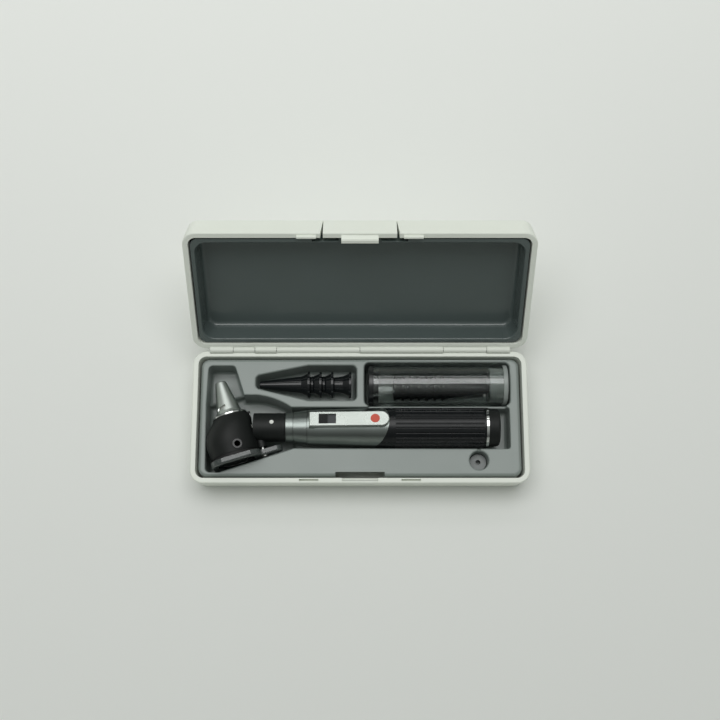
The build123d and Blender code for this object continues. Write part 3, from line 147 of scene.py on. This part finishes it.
# Aluminium tube, turned: pale, with fine rings across its length
turned_alloy = finish(
    "aluminium_turned", "#b3b5b4", "#a5a7a6", 8, 0.5, 0.004, 0.32, 0.04, stretch=(1, 0.1, 0.1), Metallic=1.0
)
# Brass, turned: warm yellow contact metal
turned_brass = finish("brass_turned", "#c9a45c", "#b8924d", 6, 0.5, 0.003, 0.30, 0.05, Metallic=1.0)
# Foil jacket of a dry cell: dark grey, smooth, nothing printed on it
cell_foil = finish("foil_jacket_plain", "#5b5c61", "#54555a", 15, 1.0, 0.002, 0.30, 0.04, Metallic=0.6)
# Polycarbonate-ABS, fine-etched mould: matte black that greys softly where it faces the light
head_black = finish(
    "pc_abs_etched_black", "#181b1a", "#151817", 10, 0.5, 0.012, 0.50, 0.05, IOR=1.55, Specular_IOR_Level=0.25
)
# Polycarbonate-ABS, smooth mould: deep black with a clear soft highlight
smooth_black = finish("pc_abs_smooth_black", "#17191a", "#141617", 14, 1.2, 0.002, 0.26, 0.03, IOR=1.57)
# ABS, fluted grip: black, satin on the ribs
grip_black = finish(
    "abs_fluted_black", "#101315", "#0d1012", 9, 0.5, 0.006, 0.28, 0.05, IOR=1.54, Specular_IOR_Level=0.3
)
# Acetal slide plate: dark grey, smooth
slide_grey = finish("acetal_dark_grey", "#3a3d40", "#36393c", 5, 0.5, 0.003, 0.40, 0.04, IOR=1.48)
# Nitrile seal: dull black
seal_black = finish("nitrile_moulded", "#141414", "#111111", 6, 0.5, 0.010, 0.70, 0.05, IOR=1.52)
# Polypropylene, smooth mould: black specula with a sharp highlight along each cone
specula_black = finish(
    "polypropylene_smooth_black", "#15181a", "#121517", 8, 1.0, 0.0006, 0.12, 0.02, IOR=1.49
)
# Polypropylene, thin disposable moulding: greyer black, a little softer
disposable_black = finish(
    "polypropylene_thin_black", "#1d2122", "#191d1e", 8, 1.0, 0.001, 0.22, 0.03, IOR=1.49
)
# Enamel inlay, flat and unmarked: coral red, fired smooth
coral_enamel = finish("enamel_coral", "#d8543c", "#d04e38", 3, 0.6, 0.001, 0.40, 0.03, IOR=1.52)
# Paint filling of a small recess: matt white
white_paint = finish("paint_white", "#eceee8", "#e4e6e0", 2, 0.3, 0.003, 0.45, 0.03, IOR=1.50)
# Glass fibre, bundled: pale, slightly translucent strands
fibre_glass = finish(
    "glass_fibre_bundle", "#d9dcd4", "#cdd0c8", 1, 0.2, 0.004, 0.30, 0.05, IOR=1.52, Transmission_Weight=0.4
)
# Polycarbonate, smoke tinted: dark grey clear rim, bright where its rounds catch the light
smoke_clear = finish(
    "polycarbonate_smoke", "#5f6664", "#585f5d", 20, 2.0, 0.001, 0.10, 0.02,
    IOR=1.585, Transmission_Weight=0.5,
)
# Optical glass, ground and polished: clear with a faint green edge
lens_glass = finish(
    "glass_polished", "#f2f7f4", "#eef4f0", 30, 3.0, 0.0, 0.02, 0.0, IOR=1.52, Transmission_Weight=1.0
)
# Lamp glass, blown: clear
lamp_glass = finish(
    "glass_blown", "#f4f4ee", "#eeeee8", 20, 3.0, 0.0, 0.03, 0.0, IOR=1.50, Transmission_Weight=1.0
)
# Polystyrene, crystal clear moulding: thin tube that shows the specula inside
tube_clear = finish(
    "polystyrene_crystal", "#f1f5f3", "#ecf1ee", 40, 4.0, 0.0, 0.03, 0.005, IOR=1.59, Transmission_Weight=1.0
)
# Polyethylene cap, frosted: milky, hides what lies behind it
cap_frosted = finish(
    "polyethylene_frosted", "#bfc7c3", "#b6beba", 12, 1.0, 0.004, 0.34, 0.05,
    IOR=1.51, Transmission_Weight=0.4,
)

finish_of = {
    "base_shell": abs_shell, "lid_shell": abs_shell, "latch_tongue": abs_shell,
    "base_tray": ps_tray, "lamp_holder": ps_cup, "lid_liner": ps_liner,
    "hinge_pin": steel_wire, "window_pin": steel_wire, "contact_spring": steel_wire,
    "neck_collar": dark_plate, "silver_shell": dark_plate, "coupling_ring": dark_plate,
    "speculum_cone": blasted_plate, "pocket_clip": satin_plate,
    "cone_flange": bright_plate, "cap_trim_ring": bright_plate,
    "handle_core": turned_alloy, "front_contact": turned_brass, "lamp_socket": turned_brass,
    "battery_front": cell_foil, "battery_rear": cell_foil,
    "head_housing": head_black, "lock_ring": head_black, "slide_switch": head_black,
    "contact_insulator": head_black, "head_neck": head_black, "end_cap": head_black,
    "insufflation_port": smooth_black, "tube_base": smooth_black, "grip_sleeve": grip_black,
    "switch_track": slide_grey, "window_gasket": seal_black, "marker_disc": coral_enamel,
    "index_dot": white_paint, "fibre_sleeve": fibre_glass, "fibre_bundle": fibre_glass,
    "window_frame": smoke_clear, "magnifier_lens": lens_glass, "lamp_bulb": lamp_glass,
    "tube_body": tube_clear, "tube_cap": cap_frosted,
}
for node_name, thing in nodes.items():
    if node_name.startswith("spare_speculum"):
        chosen = specula_black
    elif node_name.startswith("disposable_speculum"):
        chosen = disposable_black
    else:
        chosen = finish_of[node_name]
    for material_slot in thing.material_slots:
        material_slot.material = chosen


# ---------------------------------------------------------------- pieces

def sheet_mesh(name, points, closed=False):
    """A mesh from a grid of points: four neighbours make a face; closed joins the last ones to the first."""
    rows, columns = points.shape[:2]
    index = np.arange(rows * columns).reshape(rows, columns)
    if closed:
        index = np.pad(index, ((0, 1), (0, 1)), mode="wrap")
    faces = np.stack([index[:-1, :-1], index[:-1, 1:], index[1:, 1:], index[1:, :-1]], axis=-1).reshape(-1, 4)
    mesh = bpy.data.meshes.new(name)
    mesh.from_pydata(points.reshape(-1, 3).tolist(), [], faces.tolist())
    mesh.update()
    return mesh


def turned_ring(name, section, centre, count):
    """A closed section of (x, r) turned once round an axis along X: (x, y0 + r cos a, z0 + r sin a)."""
    angle = np.linspace(0, 2 * np.pi, count, endpoint=False)[:, None]
    x, r = np.array(section).T
    points = np.stack([x + 0 * angle, centre[1] + r * np.cos(angle), centre[2] + r * np.sin(angle)], axis=-1)
    mesh = sheet_mesh(name, points, closed=True)
    mesh.shade_smooth()
    mesh.set_sharp_from_angle(angle=SHARP_ANGLE)
    piece = bpy.data.objects.new(name, mesh)
    bpy.context.scene.collection.objects.link(piece)
    return piece


# The dispenser's wall as one smooth turned tube, so that light runs along it in straight clean bands
low, high = (np.array(corner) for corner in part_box("tube_body"))
outer = (high[1] - low[1]) / 2
tube_wall = turned_ring(
    "tube_wall",
    [(low[0], outer - TUBE_WALL), (high[0], outer - TUBE_WALL), (high[0], outer), (low[0], outer)],
    (low + high) / 2,
    TUBE_SIDES,
)
tube_wall.data.materials.append(tube_clear)
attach(tube_wall, "dispenser")
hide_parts("tube_body")


# ---------------------------------------------------------------- floor, light and camera

# Painted board, matt and pale: flat out to 2 m, then it rises all round by 3 s^2 - 2 s^3 of its height
board = finish("painted_board_pale", "#eef0ec", "#eceeea", 400, 2.0, 0.0, 0.75, 0.03, IOR=1.5)
line = np.linspace(-FLOOR_HALF, FLOOR_HALF, FLOOR_STEPS)
across, along = np.meshgrid(line, line)
part_way = np.clip((np.hypot(across, along) - FLOOR_FLAT) / SWEEP_RUN, 0, 1)
rise = SWEEP_HEIGHT * (3 * part_way**2 - 2 * part_way**3)
floor = bpy.data.objects.new("floor", sheet_mesh("floor", np.stack([across, along, rise], axis=-1)))
floor.data.shade_smooth()
floor.data.materials.append(board)
bpy.context.scene.collection.objects.link(floor)


def soft_lamp(name, place, aim, wide, tall, power):
    """A rectangular area lamp at a place, turned so that it shines at a point."""
    lamp = bpy.data.lights.new(name, "AREA")
    lamp.shape = "RECTANGLE"
    lamp.size = wide
    lamp.size_y = tall
    lamp.energy = power
    holder = bpy.data.objects.new(name, lamp)
    ray = np.array(aim) - np.array(place)
    holder.location = place
    holder.rotation_euler = (math.acos(-ray[2] / np.linalg.norm(ray)), 0, math.atan2(ray[0], -ray[1]))
    bpy.context.scene.collection.objects.link(holder)


soft_lamp("lamp_above", place=(-0.1, 0.38, 1.56), aim=(0, 0.0, 0.02), wide=1.5, tall=1.0, power=12.5)
soft_lamp("lamp_behind", place=(-0.1, 1.15, 1.3), aim=(0, 0.02, 0.02), wide=1.8, tall=1.3, power=12)

world = bpy.data.worlds.new("room")
bpy.context.scene.world = world
world.use_nodes = True
world.node_tree.nodes.clear()
# The room is brightest above and behind, and falls away towards the front and the horizon
facing = add(world.node_tree, "ShaderNodeTexCoord").outputs["Generated"]
height = add(world.node_tree, "ShaderNodeVectorMath", {"operation": "DOT_PRODUCT"})
world.node_tree.links.new(facing, height.inputs[0])
height.inputs[1].default_value = BRIGHTEST_WAY
glow = add(
    world.node_tree, "ShaderNodeMapRange", Value=height.outputs["Value"], From_Min=0.15, From_Max=0.9,
    To_Min=ROOM_DIM, To_Max=ROOM_BRIGHT,
).outputs["Result"]
sky = add(world.node_tree, "ShaderNodeBackground", Color=linear("#f1f5f1"), Strength=glow)
world_out = add(world.node_tree, "ShaderNodeOutputWorld")
world.node_tree.links.new(sky.outputs["Background"], world_out.inputs["Surface"])

bpy.context.scene.view_settings.view_transform = "Standard"

# Camera above and in front of the case, tipped forward from straight down by CAMERA_TIP
lens = bpy.data.cameras.new("camera")
lens.sensor_width = 36.0
lens.lens = 56.387
lens.shift_y = 0.0417
lens.clip_start = 0.01
camera = bpy.data.objects.new("camera", lens)
camera.location = (0.0, -0.14063, 0.67774)
camera.rotation_euler = (CAMERA_TIP, 0, 0)
bpy.context.scene.collection.objects.link(camera)
bpy.context.scene.camera = camera
